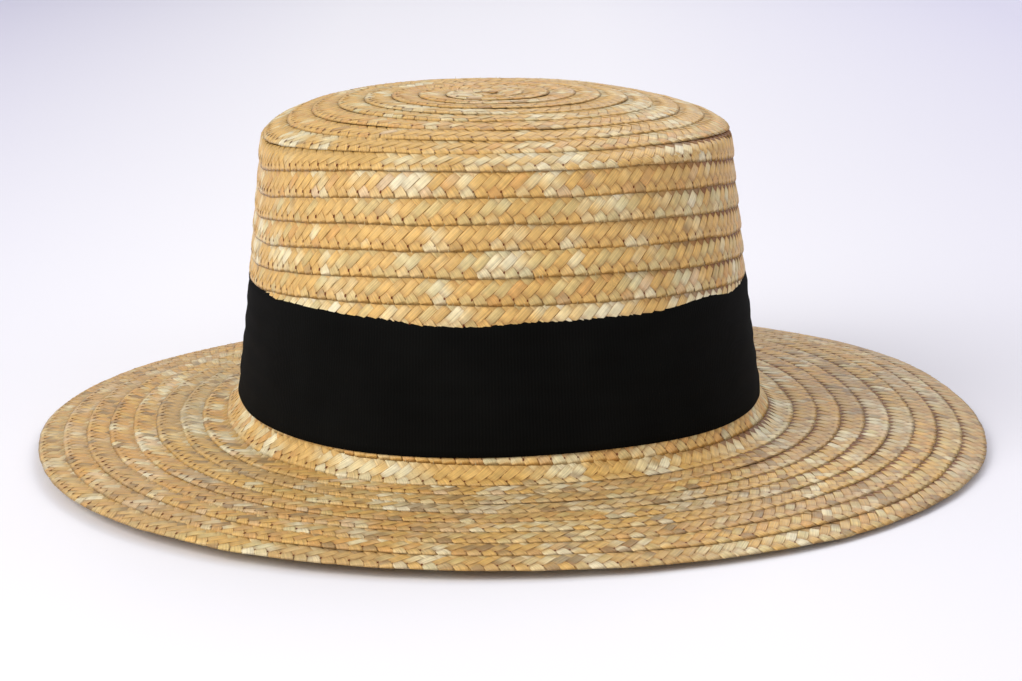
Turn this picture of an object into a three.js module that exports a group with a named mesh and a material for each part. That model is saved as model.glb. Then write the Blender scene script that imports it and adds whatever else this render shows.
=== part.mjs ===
// A straw boater hat: a hollow oval crown of sewn straw braid, a flat wide brim of the same braid,
// and a black ribbon round the foot of the crown. Millimetres, +Z up, the front of the hat toward -Y.
// The origin is under the middle of the brim, on the surface that the brim rests on.
import * as THREE from "three";

// Driving dimensions
const footHalfWidth = 87.5; // crown with its ribbon, at the ribbon's lower edge, half way across
const footHalfLength = 100.2; // the same, half way from front to back
const squareness = 2.25; // exponent of the oval: 2 is an ellipse, more is squarer
const wallTop = 85.8; // from the ribbon's lower edge up to where the tip turns in
const wallTaper = 0.1165; // how far the wall leans in for each mm of height
const domeRise = 12.9; // the tip's middle above the top of the wall
const domeReach = 0.715; // share of the tip's radius over which it rises
const domePower = 2.0;
const domeRoot = 1.4;
const tipLean = 0.014; // the tip sits a little higher on the wearer's right
const leanSpread = 6.75; // makes the lean full two thirds of the way out, and none in the middle
const flareStart = 2.0; // height at which the wall starts to flare out to the brim
const flareRadius = 8.3; // radius of that flare
const brimWidth = 70.6; // from the ribbon's lower edge out to the brim's edge
const brimFall = 6.3; // the brim's inner rows lie this far under the ribbon's lower edge
const brimSlope = 0.076;
const droopStart = 45; // past this distance out, the brim droops more and more
const droopBend = 0.0037;
const brimShift = new THREE.Vector2(3.6, 0.7); // the brim's outline sits off the crown's middle
const twoWave = { height: 1.28, peak: THREE.MathUtils.degToRad(26) }; // two high places round the rim
const threeWave = { height: 0.39, peak: THREE.MathUtils.degToRad(21) };
const bandWidth = 39.4;
const bandThick = 0.8;
const lap = { from: THREE.MathUtils.degToRad(2), to: THREE.MathUtils.degToRad(15) }; // ribbon ends
const tipRows = 10; // rows of braid on the tip
const wallRows = 12; // rows on the wall and its flare
const brimRows = 9; // rows on the brim, the first under the flare
const ridge = 1.0; // each row's outer edge stands this far over the start of the next row
const strawThick = 1.4; // the shell under those ridges
const gap = 0.3; // clearance between neighbouring pieces
const ovalSteps = 60; // points round the hat

// Point of an oval in the direction of an angle, and the outward direction there
function ovalPoint(halfWidth, halfLength, angle) {
  const across = Math.abs(Math.cos(angle)) / halfWidth;
  const along = Math.abs(Math.sin(angle)) / halfLength;
  const reach = (across ** squareness + along ** squareness) ** (-1 / squareness);
  return new THREE.Vector2(reach * Math.cos(angle), reach * Math.sin(angle));
}

function ovalOutward(halfWidth, halfLength, angle) {
  const point = ovalPoint(halfWidth, halfLength, angle);
  const pull = (value, half) => Math.sign(value) * (Math.abs(value) / half) ** (squareness - 1) / half;
  return new THREE.Vector2(pull(point.x, halfWidth), pull(point.y, halfLength)).normalize();
}

// The tip: share runs from 0 in the middle to 1 at the top of the wall
const topInset = wallTaper * wallTop;
const topHalfWidth = footHalfWidth - gap - topInset;
const topHalfLength = footHalfLength - gap - topInset;
const tipRadius = (topHalfWidth + topHalfLength) / 2;

function domeHeight(share) {
  const inward = Math.min((1 - share) / domeReach, 1);
  return domeRise * (1 - (1 - inward) ** domePower) ** (1 / domeRoot);
}

// Length along the tip's surface, so that its rows are evenly wide
const tipSamples = 200;
const tipLengths = [0];
for (let i = 1; i <= tipSamples; i += 1) {
  const rise = domeHeight(i / tipSamples) - domeHeight((i - 1) / tipSamples);
  tipLengths.push(tipLengths[i - 1] + Math.hypot(tipRadius / tipSamples, rise));
}

function tipShare(row) {
  const wanted = (row / tipRows) * tipLengths[tipSamples];
  const after = Math.max(1, tipLengths.findIndex((length) => length >= wanted - 1e-9));
  const part = (wanted - tipLengths[after - 1]) / (tipLengths[after] - tipLengths[after - 1]);
  return (after - 1 + part) / tipSamples;
}

// Crown profile at a row: how far the oval is set in or out from the foot, or the share of the tip
const wallLean = Math.atan(wallTaper);
const wallLength = (wallTop - flareStart) / Math.cos(wallLean);
const flareTurn = Math.PI / 2;
const flareLength = flareRadius * flareTurn;
const wallRowWidth = (wallLength + flareLength) / wallRows;

function crownProfile(row) {
  if (row <= tipRows) {
    const share = tipShare(Math.max(row, 0));
    return { share, out: 0, height: wallTop + domeHeight(share) };
  }
  const down = (row - tipRows) * wallRowWidth;
  if (down <= wallLength) {
    const sunk = down * Math.cos(wallLean);
    return { share: 1, out: sunk * wallTaper, height: wallTop - sunk };
  }
  const turn = (down - wallLength) / flareRadius;
  return {
    share: 1,
    out: (wallTop - flareStart) * wallTaper + flareRadius * (1 - Math.cos(turn)),
    height: flareStart - flareRadius * Math.sin(turn),
  };
}

// Direction square to the crown's surface at a row, as a step outward and a step up
function crownNormal(row) {
  const step = 0.05;
  const end = tipRows + wallRows;
  const before = crownProfile(Math.max(row - step, 0));
  const after = crownProfile(Math.min(row + step, end));
  const outward = (after.share - before.share) * tipRadius + after.out - before.out;
  const upward = after.height - before.height;
  const size = Math.hypot(outward, upward);
  return { outward: -upward / size, upward: outward / size };
}

function crownPoint(angle, row, proud) {
  const profile = crownProfile(row);
  const normal = crownNormal(row);
  const halfWidth = topHalfWidth + profile.out;
  const halfLength = topHalfLength + profile.out;
  const flat = ovalPoint(halfWidth, halfLength, angle).multiplyScalar(profile.share);
  const lean = tipLean * flat.x * leanSpread * profile.share ** 2 * (1 - profile.share);
  flat.addScaledVector(ovalOutward(halfWidth, halfLength, angle), normal.outward * proud);
  return new THREE.Vector3(flat.x, flat.y, profile.height - lean + normal.upward * proud);
}

// The brim: distance runs out from the foot of the crown
const brimRowWidth = brimWidth / brimRows;

function brimHeight(distance) {
  const past = Math.max(distance - droopStart, 0);
  return -brimFall - brimSlope * (distance - brimRowWidth) - droopBend * past ** 2;
}

function rimWave(angle) {
  const two = twoWave.height * Math.cos(2 * (angle - twoWave.peak));
  const three = threeWave.height * Math.cos(3 * (angle - threeWave.peak));
  return two + three;
}

function brimPoint(angle, distance, proud) {
  const share = distance / brimWidth;
  const slope = brimHeight(distance + 0.5) - brimHeight(distance - 0.5);
  const size = Math.hypot(slope, 1);
  const flat = ovalPoint(footHalfWidth, footHalfLength, angle);
  const outward = ovalOutward(footHalfWidth, footHalfLength, angle);
  flat.addScaledVector(outward, distance - (slope / size) * proud);
  flat.addScaledVector(brimShift, share);
  const height = brimHeight(distance) + rimWave(angle) * share ** 2 + proud / size;
  return new THREE.Vector3(flat.x, flat.y, height);
}

// A closed body from rings of points. A ring of one point is the middle of a cap. With no caps,
// the last ring joins the first.
function ringBody(rings, capped) {
  const positions = [];
  const starts = rings.map((ring) => {
    const start = positions.length / 3;
    ring.forEach((point) => positions.push(point.x, point.y, point.z));
    return start;
  });
  const corner = (r, i) => starts[r] + (rings[r].length === 1 ? 0 : i % ovalSteps);
  const faces = [];
  const joins = capped ? rings.length - 1 : rings.length;
  for (let r = 0; r < joins; r += 1) {
    const next = (r + 1) % rings.length;
    for (let i = 0; i < ovalSteps; i += 1) {
      if (rings[next].length > 1) {
        faces.push(corner(r, i), corner(next, i), corner(next, i + 1));
      }
      if (rings[r].length > 1) {
        faces.push(corner(r, i), corner(next, i + 1), corner(r, i + 1));
      }
    }
  }
  const geometry = new THREE.BufferGeometry();
  geometry.setAttribute("position", new THREE.Float32BufferAttribute(positions, 3));
  geometry.setIndex(faces);
  geometry.computeVertexNormals();
  return geometry;
}

function ringOf(pointAt) {
  return Array.from({ length: ovalSteps }, (_, i) => pointAt((i / ovalSteps) * 2 * Math.PI));
}

// Crown, in two pieces that meet at the shoulder: the tip, and the side with its flare. Each row slants
// out to its lower edge and steps back in. Under the ribbon the rows are flat.
const lastRow = tipRows + wallRows;
const bandTopRow = tipRows + (wallTop - bandWidth) / Math.cos(wallLean) / wallRowWidth;
const bandFootRow = tipRows + wallTop / Math.cos(wallLean) / wallRowWidth;
const pressed = bandThick + gap;
const rowStart = 0.04; // share of a row between one row's edge and the start of the next
const shoulderGap = 0.05; // share of a row left open between the tip and the side

function rowSlant(row) {
  return -ridge * (Math.ceil(row) - row);
}

function outsideStops() {
  const margin = 0.03;
  const stops = [{ row: 1, proud: 0 }];
  for (let row = 1; row < lastRow; row += 1) {
    stops.push({ row: row + rowStart, proud: -ridge }, { row: row + 1, proud: 0 });
  }
  const bare = stops.filter(({ row }) => row < bandTopRow - 3 * margin || row > bandFootRow + 3 * margin);
  const seat = [bandTopRow - margin, bandFootRow + margin].map((row) => ({ row, proud: -pressed }));
  const lips = [bandTopRow - 3 * margin, bandFootRow + 3 * margin].map((row) => ({ row, proud: rowSlant(row) }));
  return [...bare, ...seat, ...lips].sort((a, b) => a.row - b.row);
}

const outsideRings = outsideStops();
const innerFace = -ridge - strawThick;

function tipGeometry() {
  const outside = outsideRings.filter(({ row }) => row <= tipRows);
  // the inside runs from the shoulder back to the middle
  const inside = [tipRows - 3 * shoulderGap, 9.2, 8, 6, 4, 1.2].map((row) => ({ row, proud: innerFace }));
  const capMiddle = ({ row, proud }) => [new THREE.Vector3(0, 0, crownPoint(0, row, proud).z)];
  const rings = [...outside, ...inside].map(({ row, proud }) => ringOf((angle) => crownPoint(angle, row, proud)));
  return ringBody([capMiddle(outside[0]), ...rings, capMiddle(inside.at(-1))], true);
}

function sideGeometry() {
  const start = { row: tipRows + rowStart + shoulderGap, proud: -ridge };
  const outside = [start, ...outsideRings.filter(({ row }) => row > start.row)];
  // the inside runs from the foot back up to the shoulder
  const insideRows = [lastRow, lastRow - 0.8, lastRow - 1.6, lastRow - 2.4, tipRows + 1, start.row + shoulderGap];
  const inside = insideRows.map((row) => ({ row, proud: innerFace }));
  const rings = [...outside, ...inside].map(({ row, proud }) => ringOf((angle) => crownPoint(angle, row, proud)));
  return ringBody(rings, false);
}

// Brim. Its first row lies under the crown's flare, so it starts lower by the flare's thickness.
function brimGeometry() {
  const stepOut = 0.3;
  const edge = 0.4;
  const underFlare = innerFace - gap;
  const rings = [];
  const bareFrom = flareRadius + gap;
  rings.push(ringOf((angle) => brimPoint(angle, 0.4, underFlare)));
  rings.push(ringOf((angle) => brimPoint(angle, bareFrom, underFlare)));
  rings.push(ringOf((angle) => brimPoint(angle, bareFrom + stepOut, -ridge)));
  for (let row = 2; row <= brimRows; row += 1) {
    const outer = row * brimRowWidth;
    rings.push(ringOf((angle) => brimPoint(angle, outer, 0)));
    if (row < brimRows) {
      rings.push(ringOf((angle) => brimPoint(angle, outer + stepOut, -ridge)));
    }
  }
  rings.push(ringOf((angle) => brimPoint(angle, brimWidth, innerFace)));
  [0.85, 0.7, 0.45, 0.2].forEach((share) => {
    rings.push(ringOf((angle) => brimPoint(angle, brimWidth * share, innerFace - edge)));
  });
  rings.push(ringOf((angle) => brimPoint(angle, 0.4, underFlare - strawThick)));
  return ringBody(rings, false);
}

// Ribbon. Where its ends lap, at the wearer's left, it is two layers thick.
function bandGeometry() {
  const lapStep = THREE.MathUtils.degToRad(1);
  const layers = (angle) => 1 + Math.min(Math.max(Math.min(angle - lap.from, lap.to - angle) / lapStep, 0), 1);
  const rows = [0.01, 0.33, 0.67, 0.99].map((share) => THREE.MathUtils.lerp(bandTopRow, bandFootRow, share));
  const outside = rows.map((row) => ringOf((angle) => crownPoint(angle, row, bandThick * (layers(angle) - 1))));
  const inside = [...rows].reverse().map((row) => ringOf((angle) => crownPoint(angle, row, -bandThick)));
  return ringBody([...outside, ...inside], false);
}

// Materials
const strawMaterial = new THREE.MeshStandardMaterial({ color: 0xcfa96b, roughness: 0.6, metalness: 0 });
const brimMaterial = new THREE.MeshStandardMaterial({ color: 0xbd9a6c, roughness: 0.65, metalness: 0 });
const bandMaterial = new THREE.MeshStandardMaterial({ color: 0x10110f, roughness: 0.85, metalness: 0 });

// Assembly: the ribbon's lower edge is lifted so that the lowest place of the rim is at height 0
const hat = new THREE.Group();
const pieces = [
  { name: "crown_tip", geometry: tipGeometry(), material: strawMaterial },
  { name: "crown_side", geometry: sideGeometry(), material: strawMaterial },
  { name: "brim", geometry: brimGeometry(), material: brimMaterial },
  { name: "hat_band", geometry: bandGeometry(), material: bandMaterial },
];
const space = new THREE.Box3();
pieces.forEach(({ name, geometry, material }) => {
  const mesh = new THREE.Mesh(geometry, material);
  mesh.name = name;
  hat.add(mesh);
  space.expandByObject(mesh);
});
const middle = space.getCenter(new THREE.Vector3());
hat.position.set(-middle.x, -middle.y, -space.min.z);
hat.updateMatrixWorld(true);

export default hat;
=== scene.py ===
"""Looks of a straw boater hat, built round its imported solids: one long five-straw plait, wound and
sewn from the middle of the tip to the edge of the brim, and a ribbon round the foot of the crown.

Sizes are millimetres, but metres for the floor and the lights. +Z is up, and the front of the hat
is toward -Y. Meshes are written in metres.
"""

import math

import bpy
import numpy as np
from mathutils import Matrix, Vector


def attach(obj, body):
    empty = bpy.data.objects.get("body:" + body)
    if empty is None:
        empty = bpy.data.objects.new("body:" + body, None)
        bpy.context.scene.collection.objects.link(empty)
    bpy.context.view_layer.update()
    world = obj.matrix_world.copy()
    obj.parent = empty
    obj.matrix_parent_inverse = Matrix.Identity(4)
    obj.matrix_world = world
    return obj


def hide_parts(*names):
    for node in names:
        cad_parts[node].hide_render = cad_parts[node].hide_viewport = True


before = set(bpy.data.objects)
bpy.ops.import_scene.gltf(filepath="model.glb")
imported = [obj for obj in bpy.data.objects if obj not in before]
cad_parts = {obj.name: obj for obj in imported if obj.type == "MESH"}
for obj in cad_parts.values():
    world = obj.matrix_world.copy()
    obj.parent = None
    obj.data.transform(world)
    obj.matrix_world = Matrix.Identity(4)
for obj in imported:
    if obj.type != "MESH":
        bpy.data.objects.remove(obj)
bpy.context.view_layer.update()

# Driving dimensions, the same as in the part's source
FOOT_HALF_WIDTH = 87.5  # crown with its ribbon, at the ribbon's lower edge
FOOT_HALF_LENGTH = 100.2
SQUARENESS = 2.25
WALL_TOP = 85.8  # from the ribbon's lower edge up to where the tip turns in
WALL_TAPER = 0.1165
DOME_RISE = 12.9
DOME_REACH = 0.715
DOME_POWER = 2.0
DOME_ROOT = 1.4
TIP_LEAN = 0.014
LEAN_SPREAD = 6.75
FLARE_START = 2.0
FLARE_RADIUS = 8.3
BRIM_WIDTH = 70.6
BRIM_FALL = 6.3
BRIM_SLOPE = 0.076
DROOP_START = 45.0
DROOP_BEND = 0.0037
BRIM_SHIFT = (3.6, 0.7)
TWO_WAVE = (1.28, math.radians(26))  # height and peak
THREE_WAVE = (0.39, math.radians(21))
BAND_WIDTH = 39.4
LAP_FROM = math.radians(2)
LAP_TO = math.radians(15)
TIP_ROWS = 10
WALL_ROWS = 12
BRIM_ROWS = 9
GAP = 0.3
HAT_PLACE = np.array((-3.6, -0.7, 17.285))  # crown's axis at the ribbon's lower edge, in the hat's frame

# The plait
PITCH = 4.2  # from one straw to the next along the plait
STRAWS = 5
PLAIT_WIDTH = STRAWS * PITCH / 2
STRAW_WIDTH = PITCH / math.sqrt(2)
STRAW_FILL = 1.04  # straw's real width as a share of its place in the plait
STRAW_HALF_THICK = 0.11
WEAVE_HEIGHT = 0.13  # a straw rises and dips this far from the plait's middle
EDGE_DROP = 0.35  # the folded outer edge is pressed down onto the next row
RIM_DROP = 0.15  # more of the same at the rim, which has no row under it
EDGE_REACH = 2.6
EDGE_ROUND = 0.6  # the folded ends are rounded by this much at their corners
EDGE_PULL = 0.8  # straws turn toward the edge before they fold
EDGE_PULL_REACH = 4.0
TIP_STEP = 0.62  # each row's outer edge stands this far over the next row, on the tip
WALL_STEP = 0.82
BRIM_STEP = 0.62
START_TURN = 0.35
RIM_TURN = TIP_ROWS + WALL_ROWS + BRIM_ROWS - 1  # turns of the spiral at the rim, at the front
LEFT_FULLNESS = 0.5  # the crown stands out a little more at the wearer's left
FULLNESS_FADE = 12  # this ends over that length above the ribbon
SHOULDER_FULLNESS = 0.65  # and more again at the shoulder there
SHOULDER_SPREAD = 10
SWING = 0.15  # rows crowd in at one side of the brim and open at the other
SWING_FROM = 16  # from this turn, growing over as many turns as the next line says
SWING_TURNS = 6
# The spiral starts nearly round, so its rows lie lower at the sides of the crown than at its front.
SIDE_SAG = 6.5
SAG_UNEVEN = 1.1  # more of it at the wearer's right, less at the left
SAG_SHOULDER = 0.4  # and this share more at the shoulder than at the ribbon
SHOULDER_TURNS = (10, 16)  # turns at the shoulder and a little under the ribbon's edge
SAG_FADE = (14, 20.5)  # turns between which the rows grow level again
TAIL_FROM = math.radians(150)  # the plait's end starts to slip under here, near the back
TAIL_TUCK = 5.0
TAIL_DROP = 0.9
RIBBON_PRESS = 0.75  # the ribbon presses the rows this far in
PRESS_SPREAD = 3
# Waves in the plait: how high, how long and the seed of each
EDGE_WAVES = ((0.28, 23, 1), (0.16, 6, 2))
HEIGHT_WAVES = ((0.14, 31, 3), (0.06, 9, 4))

METRES = 0.001
TURN = 2 * math.pi
WINDING_STEP = 0.01  # radians between samples of the spiral


# Small helpers
def smooth(value):
    value = np.clip(value, 0, 1)
    return value * value * (3 - 2 * value)


def drift(place, step, seed):
    """Smooth noise from -1 to 1 along a line, with a new value each step."""
    values = np.random.default_rng(seed).uniform(-1, 1, 4096)
    scaled = place / step
    before = np.floor(scaled).astype(int)
    part = smooth(scaled - before)
    return values[before % 4096] * (1 - part) + values[(before + 1) % 4096] * part


def waves(place, kinds):
    return sum(height * drift(place, length, seed) for height, length, seed in kinds)


# The hat's surface. travel runs along it from the middle of the tip to the rim.
def oval_point(half_width, half_length, angle):
    across = np.abs(np.cos(angle)) / half_width
    along = np.abs(np.sin(angle)) / half_length
    reach = (across**SQUARENESS + along**SQUARENESS) ** (-1 / SQUARENESS)
    return reach * np.cos(angle), reach * np.sin(angle)


def oval_outward(half_width, half_length, angle):
    x, y = oval_point(half_width, half_length, angle)
    out_x = np.sign(x) * (np.abs(x) / half_width) ** (SQUARENESS - 1) / half_width
    out_y = np.sign(y) * (np.abs(y) / half_length) ** (SQUARENESS - 1) / half_length
    size = np.hypot(out_x, out_y)
    return out_x / size, out_y / size


TOP_INSET = WALL_TAPER * WALL_TOP
TOP_HALF_WIDTH = FOOT_HALF_WIDTH - GAP - TOP_INSET
TOP_HALF_LENGTH = FOOT_HALF_LENGTH - GAP - TOP_INSET
TIP_RADIUS = (TOP_HALF_WIDTH + TOP_HALF_LENGTH) / 2


def dome_height(share):
    inward = np.minimum((1 - share) / DOME_REACH, 1)
    return DOME_RISE * (1 - (1 - inward) ** DOME_POWER) ** (1 / DOME_ROOT)


tip_share = np.linspace(0, 1, 401)
tip_steps = np.hypot(np.diff(tip_share) * TIP_RADIUS, np.diff(dome_height(tip_share)))
tip_travel = np.concatenate(([0], np.cumsum(tip_steps)))
TIP_LENGTH = tip_travel[-1]
WALL_LEAN = math.atan(WALL_TAPER)
WALL_LENGTH = (WALL_TOP - FLARE_START) / math.cos(WALL_LEAN)
FLARE_LENGTH = FLARE_RADIUS * math.pi / 2
WALL_ROW = (WALL_LENGTH + FLARE_LENGTH) / WALL_ROWS
TIP_ROW = TIP_LENGTH / TIP_ROWS
FLARE_END = TIP_LENGTH + WALL_LENGTH + FLARE_LENGTH
FLARE_OUT = (WALL_TOP - FLARE_START) * WALL_TAPER + FLARE_RADIUS - TOP_INSET - GAP
BRIM_ROW = BRIM_WIDTH / BRIM_ROWS
RIM_TRAVEL = FLARE_END + BRIM_WIDTH - FLARE_OUT
BAND_TOP = TIP_LENGTH + (WALL_TOP - BAND_WIDTH) / math.cos(WALL_LEAN)
BAND_FOOT = TIP_LENGTH + WALL_TOP / math.cos(WALL_LEAN)


def crown_profile(travel):
    share = np.interp(travel, tip_travel, tip_share)
    down = np.maximum(travel - TIP_LENGTH, 0)
    sunk = np.minimum(down, WALL_LENGTH) * math.cos(WALL_LEAN)
    turn = np.clip((down - WALL_LENGTH) / FLARE_RADIUS, 0, math.pi / 2)
    out = sunk * WALL_TAPER + FLARE_RADIUS * (1 - np.cos(turn))
    height = WALL_TOP + dome_height(share) - sunk - FLARE_RADIUS * np.sin(turn)
    return share, out, height


def crown_point(angle, travel, proud):
    share, out, height = crown_profile(travel)
    step = 0.7
    share_in, out_in, height_in = crown_profile(np.maximum(travel - step, 0))
    share_on, out_on, height_on = crown_profile(np.minimum(travel + step, FLARE_END))
    outward = (share_on - share_in) * TIP_RADIUS + out_on - out_in
    upward = height_on - height_in
    size = np.hypot(outward, upward)
    half_width = TOP_HALF_WIDTH + out
    half_length = TOP_HALF_LENGTH + out
    x, y = oval_point(half_width, half_length, angle)
    out_x, out_y = oval_outward(half_width, half_length, angle)
    lean = TIP_LEAN * x * share * LEAN_SPREAD * share**2 * (1 - share)
    stand = -upward / size * proud
    return np.stack(
        (
            x * share + out_x * stand,
            y * share + out_y * stand,
            height - lean + outward / size * proud,
        ),
        axis=-1,
    )


def brim_height(distance):
    past = np.maximum(distance - DROOP_START, 0)
    return -BRIM_FALL - BRIM_SLOPE * (distance - BRIM_ROW) - DROOP_BEND * past**2


def rim_wave(angle):
    two = TWO_WAVE[0] * np.cos(2 * (angle - TWO_WAVE[1]))
    three = THREE_WAVE[0] * np.cos(3 * (angle - THREE_WAVE[1]))
    return two + three


def brim_point(angle, distance, proud):
    share = distance / BRIM_WIDTH
    slope = brim_height(distance + 0.5) - brim_height(distance - 0.5)
    size = np.hypot(slope, 1)
    x, y = oval_point(FOOT_HALF_WIDTH, FOOT_HALF_LENGTH, angle)
    out_x, out_y = oval_outward(FOOT_HALF_WIDTH, FOOT_HALF_LENGTH, angle)
    reach = distance - slope / size * proud
    return np.stack(
        (
            x + out_x * reach + BRIM_SHIFT[0] * share,
            y + out_y * reach + BRIM_SHIFT[1] * share,
            brim_height(distance) + rim_wave(angle) * share**2 + proud / size,
        ),
        axis=-1,
    )


def hat_point(angle, travel, proud):
    """Crown as far as the end of its flare, then the brim, joined without a step."""
    blend_width = 12.0
    crown = crown_point(angle, np.minimum(travel, FLARE_END), proud)
    past = np.maximum(travel - FLARE_END, 0)
    brim = brim_point(angle, FLARE_OUT + past, proud)
    crown_end = crown_point(angle, np.full_like(past, FLARE_END), proud)
    step = crown_end - brim_point(angle, np.full_like(past, FLARE_OUT), proud)
    brim = brim + step * (1 - smooth(past / blend_width))[..., None]
    return np.where((travel > FLARE_END)[..., None], brim, crown) + HAT_PLACE


# The spiral. lap angle 0 is at the front, and a whole turn brings the next row.
def rim_turns(lap):
    """Turns of the spiral at the rim, for a lap angle from -pi at the back round to pi."""
    plain = RIM_TURN + lap / TURN + SWING * np.sin(lap)
    at_tail = RIM_TURN + TAIL_FROM / TURN + SWING * math.sin(TAIL_FROM)
    slipped = smooth((lap - TAIL_FROM) / (math.pi - TAIL_FROM))
    tail = at_tail + (RIM_TURN - 0.5 - at_tail) * slipped
    return np.where(lap > TAIL_FROM, tail, plain)


last_crown_turn = TIP_ROWS + WALL_ROWS
wound = np.arange(TURN * START_TURN, TURN * RIM_TURN + math.pi, WINDING_STEP)
lap = (wound + math.pi) % TURN - math.pi
swing = SWING * smooth((wound / TURN - SWING_FROM) / SWING_TURNS)
turns = wound / TURN + swing * np.sin(lap)
brim_row = (RIM_TRAVEL - FLARE_END) / (rim_turns(lap) - last_crown_turn)
edge_travel = np.minimum(turns, TIP_ROWS) * TIP_ROW
edge_travel += np.clip(turns - TIP_ROWS, 0, WALL_ROWS) * WALL_ROW
edge_travel += np.maximum(turns - last_crown_turn, 0) * brim_row
fade = smooth((SAG_FADE[1] - turns) / (SAG_FADE[1] - SAG_FADE[0]))
sag = (SIDE_SAG - SAG_UNEVEN * np.sin(lap)) * np.abs(np.sin(lap)) ** 3
below_shoulder = (SHOULDER_TURNS[1] - turns) / (SHOULDER_TURNS[1] - SHOULDER_TURNS[0])
sag = sag * (1 + SAG_SHOULDER * np.clip(below_shoulder, 0, 1))
edge_travel += sag * np.minimum(turns / TIP_ROWS, 1) * fade
tail = smooth((wound - TURN * RIM_TURN - TAIL_FROM) / (math.pi - TAIL_FROM))
edge_travel = np.minimum(edge_travel, RIM_TRAVEL - TAIL_TUCK * tail)
sunk_tail = TAIL_DROP * tail
middle_line = hat_point(wound - math.pi / 2, np.maximum(edge_travel - 4, 0.5), np.zeros_like(wound))
middle_steps = np.linalg.norm(np.diff(middle_line, axis=0), axis=1)
plait_length = np.concatenate(([0], np.cumsum(middle_steps)))


# Straw colours, from screen values
def linear(red, green, blue):
    """Linear colour from screen values of 0 to 255."""
    return [((value / 255 + 0.055) / 1.055) ** 2.4 for value in (red, green, blue)]


GOLD = np.array(linear(221, 178, 102))
CREAM = np.array(linear(233, 215, 165))
# the whitest patches: pale straw, brightened further as painted highlight
PALE_AND_HIGHLIGHT = np.array(linear(242, 232, 200))
GREEN = np.array(linear(206, 194, 138))
ORANGE = np.array(linear(212, 152, 86))
BROWN = np.array(linear(150, 124, 88))
DULL = np.array(linear(190, 160, 116))
EDGE_AND_SHADE_BROWN = np.array(linear(160, 104, 50))  # the straws' own browner edges, deepened into painted shade between straws and where one slips under
SHADOW_BROWN = np.array(linear(122, 56, 26))  # painted shade: the dark seen in gaps in the plait, also used for the shaded straw ends under each seam
# How pale the straws of each part are, and how much of each other colour they have
CROWN_MIX = {"patchy": 1.0, "pale": 0.0, "green": 0.10, "orange": 0.13, "brown": 0.86, "dull": 0.08}
FOOT_MIX = {"patchy": 1.0, "pale": 0.2, "green": 0.14, "orange": 0.12, "brown": 0.86, "dull": 0.05}
BRIM_MIX = {"patchy": 1.3, "pale": 0.10, "green": 0.14, "orange": 0.26, "brown": 0.62, "dull": 0.45}
PALE_PATCHES = ((0.8, 9, 61), (0.35, 31, 62))
OWN_SHADE = 0.3  # how much one straw differs from the next
STRAW_LENGTH = (170, 430)
STRAW_COUNT = 400


def straw_colours(number, along, run, spliced, mix):
    """Colour of one strand at each cross-section: gold and cream in patches, the whitest partly painted
    highlight, some straws off colour.
    """
    seed = 200 + 10 * number
    picks = np.random.default_rng(seed)
    own = picks.uniform(-1, 1, STRAW_COUNT)[spliced]
    hue = picks.uniform(0, 1, STRAW_COUNT)[spliced]
    patch = waves(run, PALE_PATCHES) + OWN_SHADE * own + 0.5 * drift(along, 6, seed)
    patch = patch * mix["patchy"]
    pale = smooth((patch - 0.05 + mix["pale"]) / 0.9)[:, None]
    colour = GOLD * (1 - pale) + CREAM * pale
    # partly painted highlight: the palest patches turn nearly white
    pale_and_highlight = 0.6 * smooth((patch - 0.75 + mix["pale"]) / 0.5)[:, None]
    green = 0.45 * (hue < mix["green"])[:, None]
    orange = 0.45 * (hue > 1 - mix["orange"])[:, None]
    dull_patch = drift(run, 34, 63) + 0.5 * drift(along, 21, seed + 1)
    dull = mix["dull"] * smooth(0.5 + dull_patch)[:, None]
    spot = 0.75 * smooth((drift(along, 8, seed + 2) - mix["brown"]) / 0.15)[:, None]
    for share, tint in ((pale_and_highlight, PALE_AND_HIGHLIGHT), (green, GREEN), (orange, ORANGE), (dull, DULL), (spot, BROWN)):
        colour = colour * (1 - share) + tint * share
    return colour * (1 + 0.07 * drift(along, 5, seed + 3))[:, None]


# A straw's rise and dip at each half step along its ten-step round of the plait: over one, under two,
# over one, then folded back at the plait's edge
RISE = np.array([0, -1, -1, 0, 1, 1, 1, 0, -1, -1, 0, 1, 1, 0, -1, -1, -1, 0, 1, 1])
# How far each cross-section is slanted to lie along the fold, and how far the straw is turned over
SLANT = np.array([1, 0.5, 0, 0, 0, 0, 0, 0, 0, 0.5] * 2)
FLIP = np.radians([-90, -25, 0, 0, 0, 0, 0, 0, 0, 25, 90, 155, 180, 180, 180, 180, 180, 180, 180, 205])
# Cross-section of a straw: place across as a share of its half width, and height over its middle
FULL_SECTION = np.array([(-1, 0), (-0.82, 1), (0.82, 1), (1, 0), (0.82, -1), (-0.82, -1)])
HIDDEN_SECTION = np.array([(-1, 0), (0, 1), (1, 0), (0, -1)])  # under the ribbon
STRAW_EDGE_AND_SHADE = 0.5  # how brown a straw's edges are: partly their own colour, partly painted shade between straws
# Painted shade at each half step: brown where a straw slips under another, most where two straws meet
# near the plait's outer edge
DIVE_SHADE = np.array([0.3, 0, 0, 0.5, 0, 0, 0, 0.25, 0, 0, 0.1, 0, 0, 0.25, 0, 0, 0, 0.5, 0, 0.1])
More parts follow.
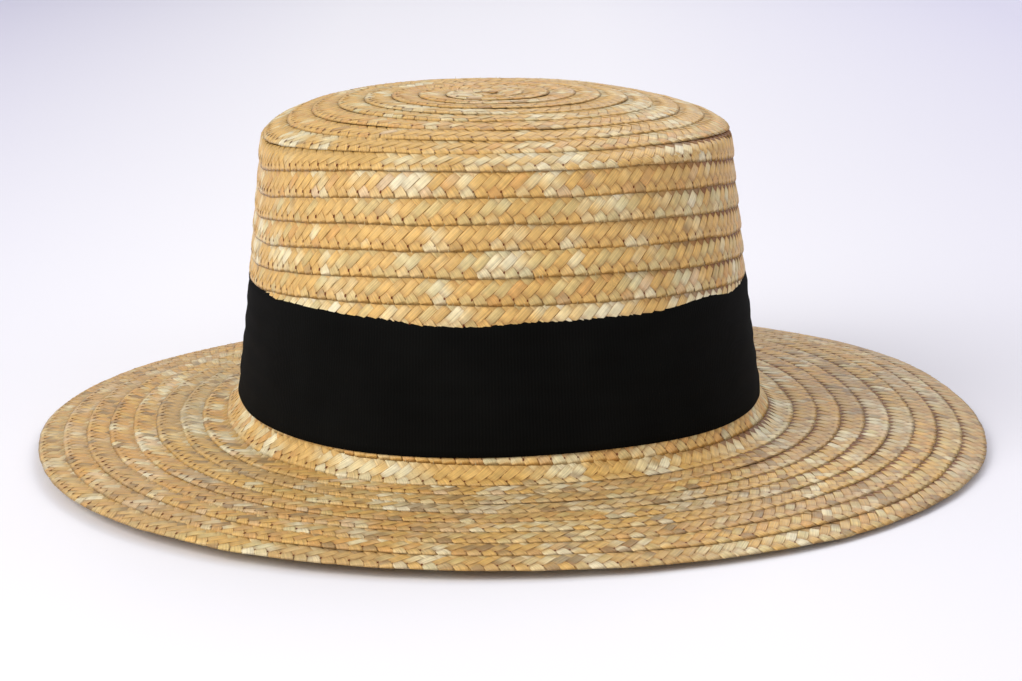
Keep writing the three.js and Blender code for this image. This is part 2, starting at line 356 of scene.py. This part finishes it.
# Painted shade under each seam: the straws' ends there are coloured dark, mostly at the wearer's left,
# the side away from the key light
TEETH_SHADE_STEPS = (11, 14)
TEETH_SHADE_DARK = 0.78
TEETH_SHADE_TURNS = (9.4, 9.8)  # turns between which this painted shade begins, as the tip has none
LIT_SIDE_FADE = 0.55  # painted light: the brown edges show less at the wearer's right, where the key light falls
WIDTH_CHANGE = 0.07  # share by which a straw's width varies
ASIDE_CHANGE = 0.17  # how far it strays across
JITTER = 0.03  # and up or down
TUCK_FROM = 7.3  # painted shade darkens the plait from here in, under the next row
TUCK_SPREAD = 1.4
TUCK_SHADE = 0.22
UNDER_SHADE = 0.1
TEETH_SHADE_DIM = 0.15
NOISE_STEP = 37.0  # moves the fibres' noise from one straw to the next


def straw_lengths(seed):
    """Places along one strand where a new straw is spliced in."""
    pieces = np.random.default_rng(seed).uniform(*STRAW_LENGTH, STRAW_COUNT)
    return np.cumsum(pieces)


def strand(number, start, end, mix, section):
    """Points and attributes of one strand of the plait, from start to end along the plait."""
    half_step = STRAW_WIDTH / 2
    offset = number * PITCH
    first = math.ceil((start - offset) * math.sqrt(2) / half_step)
    last = math.ceil((end - offset) * math.sqrt(2) / half_step)
    index = np.arange(first, last + 1)
    # halfway over or under two straws it runs level, so it needs no cross-section there
    level = index % 10 == 5
    index = index[~level | (index == first) | (index == last)]
    along = index * half_step
    phase = index % 20
    slant = SLANT[phase][:, None]
    flip = FLIP[phase][:, None]
    seed = 100 + number
    width = STRAW_WIDTH / 2 * STRAW_FILL * (1 + WIDTH_CHANGE * drift(along, 70, seed))
    aside = ASIDE_CHANGE * drift(along, 6, seed + 10)
    across = section[:, 0] * width[:, None] + aside[:, None]
    thick = section[:, 1] * STRAW_HALF_THICK
    run = offset + (along[:, None] + (1 + slant) * across) / math.sqrt(2)
    unfolded = (along[:, None] + (slant - 1) * across) / math.sqrt(2)
    folded = unfolded % (2 * PLAIT_WIDTH)
    folded = np.where(folded > PLAIT_WIDTH, 2 * PLAIT_WIDTH - folded, folded)
    run = run - EDGE_PULL * np.maximum(EDGE_PULL_REACH - folded, 0) ** 2 / (2 * EDGE_PULL_REACH)
    folded = folded - np.sin(flip) * thick + EDGE_ROUND * slant * section[:, 0] ** 4
    jitter = np.random.default_rng(seed + 20).normal(0, JITTER, len(index))
    lift = (WEAVE_HEIGHT * RISE[phase] + jitter)[:, None] + np.cos(flip) * thick
    points = plait_point(run, folded, lift)

    spliced = np.searchsorted(straw_lengths(seed + 30), along)
    colour = straw_colours(number, along, run.mean(axis=1), spliced, mix)
    # painted shade: brown along the straws' edges, partly their own colour, and where a straw slips under
    line = np.maximum(STRAW_EDGE_AND_SHADE * (section[:, 1] == 0)[None, :], DIVE_SHADE[phase][:, None])
    turned = np.interp(run.mean(axis=1), plait_length, wound)[:, None]
    on_tip = smooth((TEETH_SHADE_TURNS[1] - turned / TURN) / (TEETH_SHADE_TURNS[1] - TEETH_SHADE_TURNS[0]))
    at_left = smooth((np.sin(turned) - 0.2) / 0.6) * (1 - on_tip)
    # painted light: the brown lines fade on the wearer's right, the lit side
    line = line * (1 - LIT_SIDE_FADE * smooth(-np.sin(turned)))
    colour = colour[:, None, :] * (1 - line[..., None]) + EDGE_AND_SHADE_BROWN * line[..., None]
    # painted shade: the straws' ends under each seam are darkened, mostly at the wearer's left
    teeth_shade = TEETH_SHADE_DARK * at_left * ((phase >= TEETH_SHADE_STEPS[0]) & (phase <= TEETH_SHADE_STEPS[1]))[:, None]
    colour = colour * (1 - teeth_shade[..., None]) + SHADOW_BROWN * teeth_shade[..., None]
    # painted shade in the shade attribute: darker under the next row, where a straw dips under another,
    # and at the shaded straw ends
    tucked = smooth((folded - TUCK_FROM) / TUCK_SPREAD)
    under = smooth((-0.05 - lift) / 0.2)
    shade = (1 - TUCK_SHADE * tucked) * (1 - UNDER_SHADE * under) * (1 - TEETH_SHADE_DIM * teeth_shade)
    straws = np.broadcast_to(NOISE_STEP * spliced[:, None], across.shape)
    fibre = np.stack((np.broadcast_to(along[:, None], across.shape), across, straws), axis=-1)
    return points, colour, shade, fibre


def plait_point(run, inward, lift):
    """Point on the hat for a place along the plait, in from its outer edge, and over its middle."""
    turned = np.interp(run, plait_length, wound)
    edge = np.interp(run, plait_length, edge_travel)
    sunk = np.interp(run, plait_length, sunk_tail)
    edge = edge + waves(run, EDGE_WAVES)
    edge = np.minimum(edge, RIM_TRAVEL + 0.3)
    squeeze = np.minimum(1, (edge - 0.3) / PLAIT_WIDTH)
    travel = np.maximum(edge - inward * squeeze, 0.15)
    pressed = smooth((travel - BAND_TOP) / PRESS_SPREAD)
    pressed = pressed * smooth((BAND_FOOT + PRESS_SPREAD / 2 - travel) / PRESS_SPREAD)
    step = TIP_STEP + (WALL_STEP - TIP_STEP) * smooth((edge - TIP_LENGTH) / WALL_ROW)
    step = step + (BRIM_STEP - WALL_STEP) * smooth((edge - BAND_FOOT) / WALL_ROW)
    drop = EDGE_DROP + RIM_DROP * smooth((edge - RIM_TRAVEL + 3) / 2)
    middle = -WEAVE_HEIGHT - STRAW_HALF_THICK - step * inward / WALL_ROW - RIBBON_PRESS * pressed
    middle = middle - drop * (1 - smooth(inward / EDGE_REACH))
    off_middle = smooth((edge - 0.5 * TIP_LENGTH) / (0.5 * TIP_LENGTH))
    full = LEFT_FULLNESS * off_middle * smooth((BAND_TOP - edge) / FULLNESS_FADE)
    full = full + SHOULDER_FULLNESS * np.exp(-(((travel - TIP_LENGTH + 1) / SHOULDER_SPREAD) ** 2))
    middle = middle + full * smooth(np.sin(turned))
    return hat_point(turned - math.pi / 2, travel, middle + lift + waves(run, HEIGHT_WAVES) - sunk)


HOLE_CHANCE = 0.8  # share of the corners between folded ends that get a pinhole of painted shade
HOLE_SIZE = (0.1, 0.32)
HOLE_MORE_AT_RIGHT = 0.5  # share by which they are larger at the wearer's right
HOLE_RUN = np.array((-0.7, 0.8, 0.9, -0.6))  # a hole's four corners, as shares of its size
HOLE_INWARD = np.array((-1.5, -0.9, 1.6, 0.9))
HOLE_LIFT = 0.03
FRAY_CHANCE = 0.4  # split fibres for each straw along the plait's edge
FRAY_REACH = (0.1, 0.5)
FRAY_LIFT = (0.3, 0.9)
FRAY_ROOT = 0.9  # it starts this far in from the edge
FRAY_RUN = np.array((-0.09, 0.09, 0.02, -0.02))  # a fibre's four corners along the plait
FRAY_TIP = np.array((0, 0, 1, 1))  # which of them are at its tip
SMALL_SHADE = 0.75  # shade value of the holes and fibres: painted shade for the holes; it also keeps both from shining


def pinhole_shadows(start, end):
    """Small dark quads of painted shade where three straws meet, standing for the gaps between the folded
    ends along the plait's outer edge.
    """
    picks = np.random.default_rng(int(start))
    corner = np.arange(math.ceil(start / PITCH), math.floor(end / PITCH)) * PITCH
    corner = corner[picks.uniform(0, 1, len(corner)) < HOLE_CHANCE]
    at_right = smooth(-np.sin(np.interp(corner, plait_length, wound)))
    size = (picks.uniform(*HOLE_SIZE, len(corner)) * (1 + HOLE_MORE_AT_RIGHT * at_right))[:, None]
    pull = EDGE_PULL * (EDGE_PULL_REACH - PITCH / 2) ** 2 / (2 * EDGE_PULL_REACH)
    run = corner[:, None] - pull + size * HOLE_RUN
    inward = PITCH / 2 + picks.normal(0, 0.12, len(corner))[:, None] + size * HOLE_INWARD
    over = np.broadcast_to(WEAVE_HEIGHT + STRAW_HALF_THICK + HOLE_LIFT, run.shape)
    return plait_point(run, inward, over).reshape(-1, 3)


def frays(start, end):
    """Short split fibres that stick out from the plait's outer edge."""
    picks = np.random.default_rng(int(start) + 1)
    root = np.arange(math.ceil(start / PITCH), math.floor(end / PITCH)) * PITCH
    root = root[picks.uniform(0, 1, len(root)) < FRAY_CHANCE]
    root = root[:, None] + picks.uniform(-PITCH / 2, PITCH / 2, len(root))[:, None]
    tip_aside = picks.normal(0, 0.5, len(root))[:, None]
    reach = picks.uniform(*FRAY_REACH, len(root))[:, None]
    lift = picks.uniform(*FRAY_LIFT, len(root))[:, None]
    run = root + FRAY_RUN + tip_aside * FRAY_TIP
    inward = FRAY_ROOT - (FRAY_ROOT + reach) * FRAY_TIP
    over = WEAVE_HEIGHT + lift * FRAY_TIP
    return plait_point(run, inward, over).reshape(-1, 3)


def mesh_object(name, points, faces, colour=None, shade=None, place=None):
    mesh = bpy.data.meshes.new(name)
    mesh.vertices.add(len(points))
    mesh.vertices.foreach_set("co", (points * METRES).astype(np.float32).ravel())
    mesh.loops.add(faces.size)
    mesh.loops.foreach_set("vertex_index", faces.astype(np.int32).ravel())
    mesh.polygons.add(len(faces))
    mesh.polygons.foreach_set("loop_start", np.arange(0, faces.size, 4, dtype=np.int32))
    mesh.update(calc_edges=True)
    mesh.validate()
    mesh.polygons.foreach_set("use_smooth", np.ones(len(mesh.polygons), bool))
    if colour is not None:
        layer = mesh.attributes.new("straw_colour", "FLOAT_COLOR", "POINT")
        rgba = np.concatenate((colour, np.ones((len(colour), 1))), axis=1)
        layer.data.foreach_set("color", rgba.astype(np.float32).ravel())
    if shade is not None:
        layer = mesh.attributes.new("shade", "FLOAT", "POINT")
        layer.data.foreach_set("value", shade.astype(np.float32).ravel())
    if place is not None:
        layer = mesh.attributes.new("place", "FLOAT_VECTOR", "POINT")
        layer.data.foreach_set("vector", place.astype(np.float32).ravel())
    made = bpy.data.objects.new(name, mesh)
    bpy.context.scene.collection.objects.link(made)
    return made


def plait(name, start, end, mix, section, node):
    """One object with all five strands between two places along the plait."""
    all_points, all_faces, all_colours, all_shades, all_fibres = [], [], [], [], []
    count = 0
    around = len(section)
    for number in range(STRAWS):
        points, colour, shade, fibre = strand(number, start, end, mix, section)
        rings = len(points)
        ring = np.arange(rings - 1)[:, None] * around
        side = np.arange(around)[None, :]
        after = (side + 1) % around
        corners = (ring + side, ring + after, ring + after + around, ring + side + around)
        all_faces.append(np.stack(corners, axis=-1).reshape(-1, 4) + count)
        all_points.append(points.reshape(-1, 3))
        all_colours.append(colour.reshape(-1, 3))
        all_shades.append(shade.ravel())
        all_fibres.append(fibre.reshape(-1, 3))
        count += rings * around
    for small, tint in ((pinhole_shadows(start, end), SHADOW_BROWN), (frays(start, end), CREAM)):
        all_points.append(small)
        all_faces.append(np.arange(len(small)).reshape(-1, 4) + count)
        all_colours.append(np.tile(tint, (len(small), 1)))
        all_shades.append(np.full(len(small), SMALL_SHADE))
        all_fibres.append(np.zeros((len(small), 3)))
        count += len(small)
    made = mesh_object(
        name,
        np.concatenate(all_points),
        np.concatenate(all_faces),
        np.concatenate(all_colours),
        np.concatenate(all_shades),
        np.concatenate(all_fibres),
    )
    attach(made, "root")
    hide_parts(node)
    return made


# Ribbon
RIBBON_THICK = 0.55
TOP_TUCK = 0.75  # its top edge is drawn in between the straws
TOP_TUCK_FROM = 0.95
TOP_RISE = 2.3  # it is set higher than the ribbon's width by this much, to allow for the tuck
RIBBON_INSET = 0.1
FOOT_WAVES = ((0.35, 38, 51),)
TOP_WAVES = ((0.45, 29, 52), (0.15, 8, 53))
ROW_SHOWS = 0.2  # how high the rows of braid show through
LUMP = (0.28, 26, 54)
SMALL_LUMP = (0.14, 11, 55)
LUMP_SLANT = 60  # the lumps run this far along on their way up, and the small ones back
SMALL_LUMP_SLANT = -45
JOINING = 0.6  # radians before the lap over which the ribbon's waves come back to their start
LAP_SLOPE = math.radians(3)
RIBBON_COLUMNS = 600
RIBBON_ROWS = 18


def ribbon():
    angle = np.linspace(LAP_FROM, LAP_TO + TURN, RIBBON_COLUMNS)[:, None]
    share = np.linspace(0, 1, RIBBON_ROWS)[None, :]
    mean_radius = (FOOT_HALF_WIDTH + FOOT_HALF_LENGTH) / 2 - WALL_TAPER * BAND_WIDTH / 2
    along = angle * mean_radius
    circuit = TURN * mean_radius
    joined = smooth((angle - TURN) / JOINING + 1)

    def closed_waves(spot, *kinds):
        """Waves that come back to their start after one turn, so the lapped ends lie alike."""
        return waves(spot, kinds) * (1 - joined) + waves(spot - circuit, kinds) * joined

    foot = BAND_FOOT + closed_waves(along, *FOOT_WAVES) - RIBBON_INSET
    top = BAND_TOP - TOP_RISE + closed_waves(along, *TOP_WAVES)
    travel = foot + (top - foot) * share
    row = TIP_ROWS + (travel - TIP_LENGTH) / WALL_ROW - (angle + math.pi / 2) / TURN
    lumps = ROW_SHOWS * np.cos(TURN * (row + 0.12)) + closed_waves(along + LUMP_SLANT * share, LUMP)
    lumps = lumps + closed_waves(along + SMALL_LUMP_SLANT * share, SMALL_LUMP)
    tuck = TOP_TUCK * smooth((share - TOP_TUCK_FROM) / (1 - TOP_TUCK_FROM))
    over = smooth((angle - TURN - LAP_FROM) / LAP_SLOPE + 1)
    stand = lumps - tuck + over * (RIBBON_THICK + RIBBON_INSET) - RIBBON_INSET
    outside = hat_point(angle, travel, stand)
    inside = hat_point(angle, travel, stand - RIBBON_THICK)
    points = np.concatenate((outside.reshape(-1, 3), inside.reshape(-1, 3)))
    layer = RIBBON_COLUMNS * RIBBON_ROWS
    corner = (np.arange(RIBBON_COLUMNS - 1)[:, None] * RIBBON_ROWS + np.arange(RIBBON_ROWS - 1)).ravel()
    front = np.stack((corner, corner + RIBBON_ROWS, corner + RIBBON_ROWS + 1, corner + 1), axis=-1)
    back = front[:, ::-1] + layer
    walk = np.arange(RIBBON_COLUMNS - 1) * RIBBON_ROWS
    low = np.stack((walk, walk + layer, walk + layer + RIBBON_ROWS, walk + RIBBON_ROWS), axis=-1)
    high = low[:, ::-1] + RIBBON_ROWS - 1
    climb = np.arange(RIBBON_ROWS - 1)
    near = np.stack((climb, climb + 1, climb + 1 + layer, climb + layer), axis=-1)
    far = near[:, ::-1] + (RIBBON_COLUMNS - 1) * RIBBON_ROWS
    along_all, up_all = np.broadcast_arrays(along, share * BAND_WIDTH)
    place = np.stack((along_all, up_all, np.zeros_like(along_all)), axis=-1).reshape(-1, 3)
    place = np.concatenate((place, place))
    made = mesh_object("ribbon", points, np.concatenate((front, back, low, high, near, far)), place=place)
    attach(made, "root")
    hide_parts("hat_band")
    return made


# Materials
class Nodes:
    """Short ways to add and join nodes in one material."""

    def __init__(self, name):
        self.material = bpy.data.materials.new(name)
        self.material.use_nodes = True
        self.tree = self.material.node_tree
        self.shader = self.tree.nodes["Principled BSDF"]

    def add(self, kind, **settings):
        node = self.tree.nodes.new(kind)
        for key, value in settings.items():
            setattr(node, key, value)
        return node

    def join(self, source, target):
        self.tree.links.new(source, target)

    def math(self, operation, first, second=None):
        node = self.add("ShaderNodeMath", operation=operation)
        for socket, value in zip(node.inputs, (first, second)):
            if isinstance(value, (int, float)):
                socket.default_value = value
            elif value is not None:
                self.join(value, socket)
        return node.outputs[0]

    def attribute(self, name, output):
        return self.add("ShaderNodeAttribute", attribute_name=name).outputs[output]

    def scaled(self, vector, scale):
        node = self.add("ShaderNodeVectorMath", operation="MULTIPLY")
        self.join(vector, node.inputs[0])
        node.inputs[1].default_value = scale
        return node.outputs[0]

    def dot(self, vector, direction):
        node = self.add("ShaderNodeVectorMath", operation="DOT_PRODUCT")
        self.join(vector, node.inputs[0])
        node.inputs[1].default_value = direction
        return node.outputs["Value"]

    def noise(self, vector, scale, detail):
        node = self.add("ShaderNodeTexNoise")
        self.join(vector, node.inputs["Vector"])
        node.inputs["Scale"].default_value = scale
        node.inputs["Detail"].default_value = detail
        return node.outputs["Fac"]

    def ranged(self, value, low, high, to_low, to_high):
        node = self.add("ShaderNodeMapRange")
        self.join(value, node.inputs["Value"])
        node.inputs["From Min"].default_value = low
        node.inputs["From Max"].default_value = high
        node.inputs["To Min"].default_value = to_low
        node.inputs["To Max"].default_value = to_high
        return node.outputs["Result"]

    def bump(self, height, strength, distance, normal=None):
        node = self.add("ShaderNodeBump")
        self.join(height, node.inputs["Height"])
        node.inputs["Strength"].default_value = strength
        node.inputs["Distance"].default_value = distance
        if normal is not None:
            self.join(normal, node.inputs["Normal"])
        return node.outputs["Normal"]


RIB_PITCH = 0.95  # from one upright rib of the ribbon to the next
RIBBON_BLACK = linear(9, 9, 8)


def straw_material(name):
    nodes = Nodes(name)
    colour = nodes.attribute("straw_colour", "Color")
    place = nodes.attribute("place", "Vector")
    shade = nodes.attribute("shade", "Fac")
    streaks = nodes.noise(nodes.scaled(place, (0.05, 2.6, 1.0)), 1.0, 3.0)
    fibres = nodes.noise(nodes.scaled(place, (0.12, 9.0, 1.0)), 1.0, 2.0)
    patches = nodes.noise(nodes.scaled(place, (0.3, 0.25, 1.0)), 1.0, 2.0)
    # the shade attribute darkens the colour here: painted shade
    tone = nodes.math("MULTIPLY", nodes.ranged(streaks, 0.3, 0.7, 0.78, 1.18), shade)
    tone = nodes.math("MULTIPLY", tone, nodes.ranged(patches, 0.3, 0.7, 0.84, 1.12))
    tone = nodes.math("MULTIPLY", tone, nodes.ranged(fibres, 0.35, 0.65, 0.88, 1.08))
    tinted = nodes.add("ShaderNodeVectorMath", operation="SCALE")
    nodes.join(colour, tinted.inputs[0])
    nodes.join(tone, tinted.inputs["Scale"])
    nodes.join(tinted.outputs[0], nodes.shader.inputs["Base Color"])
    nodes.join(nodes.ranged(patches, 0.3, 0.7, 0.36, 0.52), nodes.shader.inputs["Roughness"])
    normal = nodes.bump(fibres, 0.35, 0.0002)
    nodes.join(nodes.bump(streaks, 0.4, 0.0004, normal), nodes.shader.inputs["Normal"])
    # shaded places shine less
    shine = nodes.ranged(shade, 0.68, 1.0, 0.0, 0.45)
    nodes.join(shine, nodes.shader.inputs["Specular IOR Level"])
    return nodes.material


def ribbon_material():
    nodes = Nodes("black_grosgrain")
    place = nodes.attribute("place", "Vector")
    apart = nodes.add("ShaderNodeSeparateXYZ")
    nodes.join(place, apart.inputs[0])
    rib = nodes.math("SINE", nodes.math("MULTIPLY", apart.outputs["X"], TURN / RIB_PITCH))
    weave = nodes.noise(nodes.scaled(place, (1.2, 4.0, 1.0)), 1.0, 2.0)
    cloud = nodes.noise(nodes.scaled(place, (0.05, 0.05, 1.0)), 1.0, 3.0)
    height = nodes.math("ADD", rib, nodes.math("MULTIPLY", weave, 1.2))
    tone = nodes.ranged(nodes.math("ADD", nodes.math("MULTIPLY", rib, 0.12), cloud), 0.2, 0.8, 0.7, 1.5)
    tinted = nodes.add("ShaderNodeVectorMath", operation="SCALE")
    tinted.inputs[0].default_value = RIBBON_BLACK
    nodes.join(tone, tinted.inputs["Scale"])
    nodes.join(tinted.outputs[0], nodes.shader.inputs["Base Color"])
    nodes.join(nodes.bump(height, 0.25, 0.00015), nodes.shader.inputs["Normal"])
    nodes.shader.inputs["Roughness"].default_value = 0.9
    nodes.shader.inputs["Specular IOR Level"].default_value = 0.06
    return nodes.material


straw = straw_material("golden_straw")
brim_straw = straw_material("greyer_straw")
black = ribbon_material()


def length_at(turn):
    """Place along the plait after so many turns of the spiral, whole ones ending at the front."""
    return float(np.interp(TURN * turn, wound, plait_length))


# Name, turns of the spiral from and to, colours, cross-section and the solid that each replaces
PIECES = [
    ("tip_braid", START_TURN, 10.0, CROWN_MIX, FULL_SECTION, "crown_tip"),
    ("upper_side_braid", 10.0, 13.8, CROWN_MIX, FULL_SECTION, "crown_side"),
    ("lower_side_braid", 13.8, 17.3, CROWN_MIX, FULL_SECTION, "crown_side"),
    ("under_ribbon_braid", 17.3, 20.3, CROWN_MIX, HIDDEN_SECTION, "crown_side"),
    ("foot_braid", 20.3, 22.5, FOOT_MIX, FULL_SECTION, "crown_side"),
    ("inner_brim_braid", 22.5, 26.7, BRIM_MIX, FULL_SECTION, "brim"),
    ("outer_brim_braid", 26.7, RIM_TURN + 0.49, BRIM_MIX, FULL_SECTION, "brim"),
]
for name, turn_from, turn_to, mix, section, node in PIECES:
    piece = plait(name, length_at(turn_from), length_at(turn_to), mix, section, node)
    on_brim = node == "brim"
    piece.data.materials.append(brim_straw if on_brim else straw)

band = ribbon()
band.data.materials.append(black)

# Floor, in metres. Its colour holds a painted pool of light: white round the hat, darkening to lavender
# to the sides and behind
FLOOR_HALF = 6.0
FLOOR_WHITE = (248, 247, 252)
FLOOR_LAVENDER = (219, 217, 237)
FADE_MIDDLE = 0.03  # the middle of the painted pool of light is this far to the left of the hat's middle
FADE_ASIDE = (0.1, 0.5)  # the painted light fades to lavender between these distances to the sides
FADE_BACK = (0.1, 2.2)  # and between these distances behind, up to the share in the next line
FADE_BACK_SHARE = 0.22
TO_RIGHT = (0.993, -0.118, 0)  # along the floor, to the picture's right and away from it
AWAY = (0.118, 0.993, 0)
MIX_SHARE, MIX_FIRST, MIX_SECOND, MIX_RESULT = 0, 6, 7, 2  # sockets of a mix of colours
floor_points = np.array([(-1, -1, 0), (1, -1, 0), (1, 1, 0), (-1, 1, 0)]) * FLOOR_HALF / METRES
floor = mesh_object("floor", floor_points, np.array([[0, 1, 2, 3]]))
floor_nodes = Nodes("pale_floor")
spot = floor_nodes.add("ShaderNodeNewGeometry").outputs["Position"]
aside = floor_nodes.math("ADD", floor_nodes.dot(spot, TO_RIGHT), FADE_MIDDLE)
aside = floor_nodes.math("ABSOLUTE", aside)
fade_aside = floor_nodes.ranged(aside, *FADE_ASIDE, 0.0, 1.0)
fade_back = floor_nodes.ranged(floor_nodes.dot(spot, AWAY), *FADE_BACK, 0.0, FADE_BACK_SHARE)
fade = floor_nodes.math("MINIMUM", floor_nodes.math("ADD", fade_aside, fade_back), 1.0)
floor_tint = floor_nodes.add("ShaderNodeMix", data_type="RGBA")
floor_nodes.join(fade, floor_tint.inputs[MIX_SHARE])
floor_tint.inputs[MIX_FIRST].default_value = (*linear(*FLOOR_WHITE), 1)
floor_tint.inputs[MIX_SECOND].default_value = (*linear(*FLOOR_LAVENDER), 1)
floor_nodes.join(floor_tint.outputs[MIX_RESULT], floor_nodes.shader.inputs["Base Color"])
floor_nodes.shader.inputs["Roughness"].default_value = 0.7
floor_nodes.shader.inputs["Specular IOR Level"].default_value = 0.2
floor.data.materials.append(floor_nodes.material)

# Soft studio light, in metres and watts
WORLD_COLOUR = (0.87, 0.86, 0.89, 1)
WORLD_STRENGTH = 0.62
LIGHT_TARGET = (0, 0, 0.05)
# Name, place, width, power and colour
LIGHTS = [
    ("key", (-1.5, -0.8, 1.15), 1.3, 28.5, (1.0, 0.99, 0.96)),
    ("fill", (1.3, -1.4, 1.0), 1.4, 6, (1, 1, 1)),
    ("back", (0.9, 1.5, 1.6), 1.6, 15, (1, 1, 1)),
]
world = bpy.data.worlds.new("studio")
bpy.context.scene.world = world
world.use_nodes = True
world.node_tree.nodes["Background"].inputs["Color"].default_value = WORLD_COLOUR
world.node_tree.nodes["Background"].inputs["Strength"].default_value = WORLD_STRENGTH

for name, place, width, power, colour in LIGHTS:
    data = bpy.data.lights.new(name, "AREA")
    data.shape = "RECTANGLE"
    data.size = width
    data.size_y = width
    data.energy = power
    data.color = colour
    light = bpy.data.objects.new(name, data)
    bpy.context.scene.collection.objects.link(light)
    light.location = place
    light.rotation_mode = "QUATERNION"
    light.rotation_quaternion = (Vector(LIGHT_TARGET) - Vector(place)).to_track_quat("-Z", "Y")

# Camera, fitted to the photo in the frame of the crown
CAMERA_DISTANCE = 919.0
CAMERA_HEIGHT_ANGLE = math.radians(12.53)
CAMERA_TURN = math.radians(6.78)  # toward the wearer's right
CAMERA_ASIDE = 4.9
CAMERA_TARGET_HEIGHT = 14.0
CAMERA_ROLL = math.radians(-1.04)
FOCAL_PIXELS = 2718.5
PICTURE_WIDTH = 1022
SENSOR_WIDTH = 36.0

back = Vector(
    (
        -math.sin(CAMERA_TURN) * math.cos(CAMERA_HEIGHT_ANGLE),
        -math.cos(CAMERA_TURN) * math.cos(CAMERA_HEIGHT_ANGLE),
        math.sin(CAMERA_HEIGHT_ANGLE),
    )
)
right = Vector((math.cos(CAMERA_TURN), -math.sin(CAMERA_TURN), 0))
up = back.cross(right)
target = Vector(HAT_PLACE) + right * CAMERA_ASIDE + Vector((0, 0, CAMERA_TARGET_HEIGHT))
rolled_right = right * math.cos(CAMERA_ROLL) + up * math.sin(CAMERA_ROLL)
rolled_up = up * math.cos(CAMERA_ROLL) - right * math.sin(CAMERA_ROLL)
camera_data = bpy.data.cameras.new("camera")
camera_data.sensor_width = SENSOR_WIDTH
camera_data.lens = FOCAL_PIXELS * SENSOR_WIDTH / PICTURE_WIDTH
camera = bpy.data.objects.new("camera", camera_data)
bpy.context.scene.collection.objects.link(camera)
turned_axes = Matrix((rolled_right, rolled_up, back)).transposed()
camera_place = Matrix.Translation((target + back * CAMERA_DISTANCE) * METRES)
camera.matrix_world = camera_place @ turned_axes.to_4x4()
bpy.context.scene.camera = camera
bpy.context.scene.view_settings.view_transform = "Standard"
